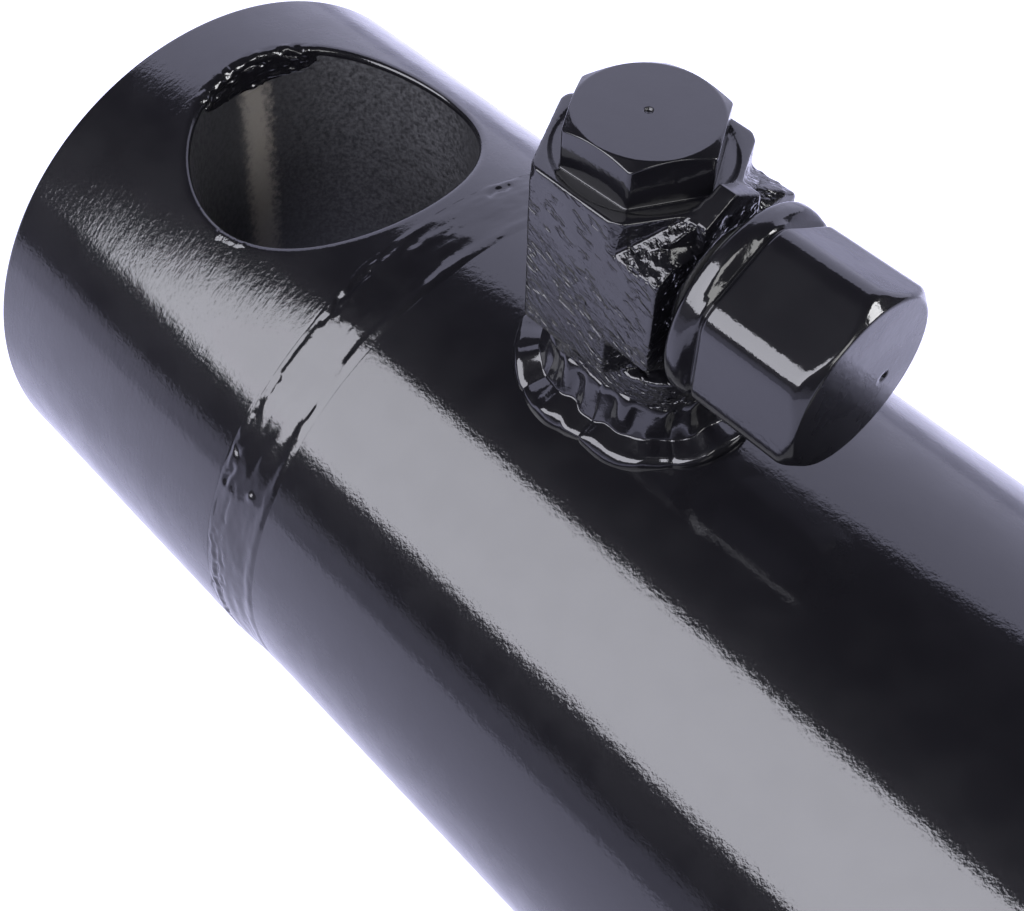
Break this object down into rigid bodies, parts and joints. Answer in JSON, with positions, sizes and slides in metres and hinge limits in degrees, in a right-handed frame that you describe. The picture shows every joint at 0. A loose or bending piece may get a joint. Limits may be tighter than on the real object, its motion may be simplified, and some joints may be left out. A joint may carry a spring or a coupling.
{
  "type": "hydraulic cylinder",
  "caption": "Double-acting hydraulic cylinder with a solid cross-bored base end, plugged forged port elbows, a screwed gland and a chromed rod with a bushed eye.",
  "frame": {"origin": "centre of the base pin bore, on the cylinder's axis", "axes": "+X along the cylinder from the base end to the rod eye, +Z along the base pin bore towards the port side, Y across"},
  "size_m": [0.7826, 0.1034, 0.1459],
  "materials": {
    "gloss_black_paint": "thick gloss black paint over steel",
    "black_rubber": "matte nitrile rubber",
    "seal_polyurethane": "dark green polyurethane",
    "ptfe_ivory": "smooth filled PTFE",
    "wear_ring_resin": "woven-filled resin",
    "machined_steel": "turned steel",
    "black_oxide_steel": "black oxide",
    "hard_chrome": "ground and polished hard chrome",
    "bushing_steel": "hardened bored steel",
    "zinc_plated_steel": "bright zinc"
  },
  "bodies": {
    "barrel": {"base_eye": "gloss_black_paint", "barrel_tube": "gloss_black_paint", "base_eye_weld": "gloss_black_paint", "base_port_elbow": "gloss_black_paint", "base_port_weld": "gloss_black_paint", "base_port_top_plug": "gloss_black_paint", "base_port_top_plug_oring": "black_rubber", "base_port_side_plug": "gloss_black_paint", "base_port_side_plug_oring": "black_rubber", "head_port_elbow": "gloss_black_paint", "head_port_weld": "gloss_black_paint", "head_port_top_plug": "gloss_black_paint", "head_port_top_plug_oring": "black_rubber", "head_port_side_plug": "gloss_black_paint", "head_port_side_plug_oring": "black_rubber", "head_gland": "gloss_black_paint", "gland_lock_screw": "black_oxide_steel", "gland_oring": "black_rubber", "gland_backup_ring": "ptfe_ivory", "rod_buffer_seal": "seal_polyurethane", "rod_guide_ring": "wear_ring_resin", "rod_u_cup_seal": "seal_polyurethane", "rod_wiper": "seal_polyurethane"},
    "piston_seals": {"piston_wear_ring_inner": "wear_ring_resin", "piston_wear_ring_outer": "wear_ring_resin", "piston_seal": "ptfe_ivory", "piston_seal_energizer": "black_rubber"},
    "rod": {"piston": "machined_steel", "piston_rod": "hard_chrome", "piston_rod_oring": "black_rubber", "piston_nut": "black_oxide_steel", "rod_eye": "gloss_black_paint", "rod_eye_weld": "gloss_black_paint", "rod_eye_bushing": "bushing_steel", "rod_eye_grease_fitting": "zinc_plated_steel"}
  },
  "joints": [
    {"name": "rod_slide", "type": "slide", "parent": "barrel", "child": "piston_seals", "axis": [1, 0, 0], "range_m": [0, 0.4064]},
    {"name": "rod_turn", "type": "hinge", "parent": "piston_seals", "child": "rod", "pos_m": [0.3, 0, 0], "axis": [1, 0, 0], "continuous": true}
  ]
}
